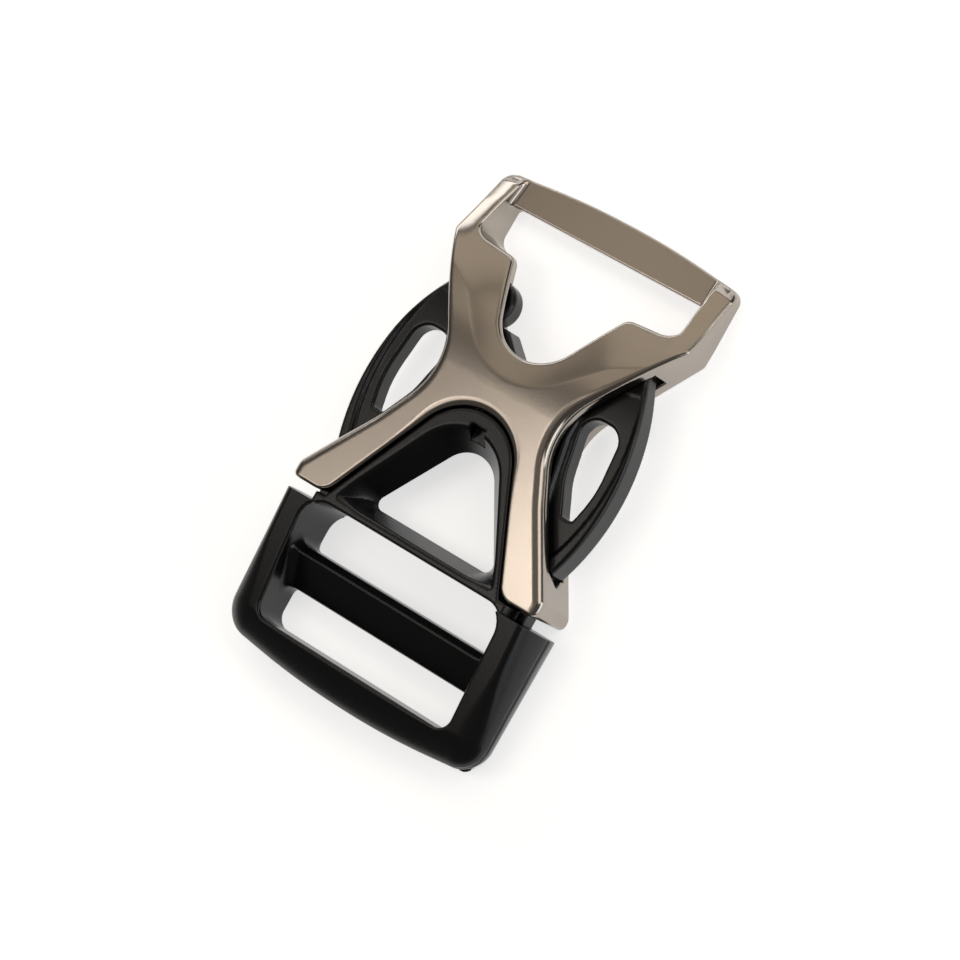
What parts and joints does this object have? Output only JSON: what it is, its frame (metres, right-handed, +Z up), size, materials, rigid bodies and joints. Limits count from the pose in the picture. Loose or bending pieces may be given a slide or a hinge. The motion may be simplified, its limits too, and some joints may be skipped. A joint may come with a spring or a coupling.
{
  "type": "side-release buckle",
  "caption": "Fastened side-release buckle for webbing: an open X-shaped metal receiver with a strap bar, and a slotted black insert with bowed side prongs.",
  "frame": {"origin": "under the middle of the fastened buckle's bounding box, on the surface it lies on", "axes": "+X across the webbing, +Y along the webbing towards the receiver's strap bar, +Z up out of the flat top"},
  "size_m": [0.035, 0.058, 0.0075],
  "materials": {
    "receiver_metal": "satin gunmetal plating over a zinc alloy casting",
    "insert_plastic": "fine-grained black acetal"
  },
  "bodies": {
    "root": {"receiver": "receiver_metal", "insert": "insert_plastic"}
  },
  "joints": []
}
